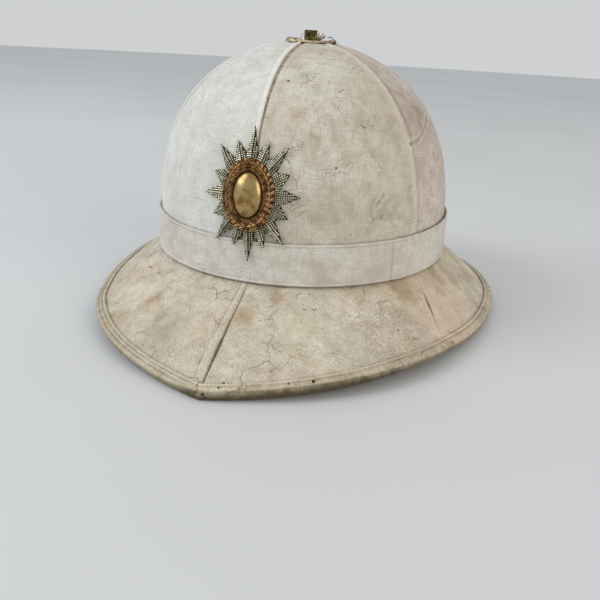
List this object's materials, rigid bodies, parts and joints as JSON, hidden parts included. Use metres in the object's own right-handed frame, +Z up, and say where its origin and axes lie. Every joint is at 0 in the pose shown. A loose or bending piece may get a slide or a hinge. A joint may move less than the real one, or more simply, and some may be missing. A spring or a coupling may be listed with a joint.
{
  "type": "pith helmet",
  "caption": "Domed cork sun helmet covered in seamed white cloth, with a pointed front peak, a hatband, a bound edge and a metal star badge, its ventilator missing.",
  "frame": {"origin": "middle of the helmet's box, on the surface that the rim rests on", "axes": "+Z up through the crown, -Y towards the front peak, +X towards the wearer's left"},
  "size_m": [0.2718, 0.3486, 0.1758],
  "materials": {
    "lined_cork": "moulded cork with thin pale cloth pasted inside",
    "crown_cloth": "whitened cotton cloth, matt",
    "brim_cloth": "whitened cotton cloth, stained, matt",
    "binding_cloth": "folded cotton strip under old whitening",
    "torn_cloth": "frayed cotton",
    "dull_brass": "turned brass, tarnished",
    "white_metal": "die-struck white metal, darkened in the hollows",
    "gilding_metal": "die-struck gilding metal, tarnished"
  },
  "bodies": {
    "root": {"cork_body": "lined_cork", "crown_panel_front_left": "crown_cloth", "crown_panel_side_left": "crown_cloth", "crown_panel_back_left": "crown_cloth", "crown_panel_back_right": "crown_cloth", "crown_panel_side_right": "crown_cloth", "crown_panel_front_right": "crown_cloth", "brim_cover_front_left": "brim_cloth", "brim_cover_back_left": "brim_cloth", "brim_cover_back_right": "brim_cloth", "brim_cover_front_right": "brim_cloth", "edge_binding": "binding_cloth", "hatband": "crown_cloth", "ventilator_collet": "dull_brass", "torn_cloth": "torn_cloth", "badge_star": "white_metal", "badge_wreath": "gilding_metal", "badge_boss": "gilding_metal"}
  },
  "joints": []
}
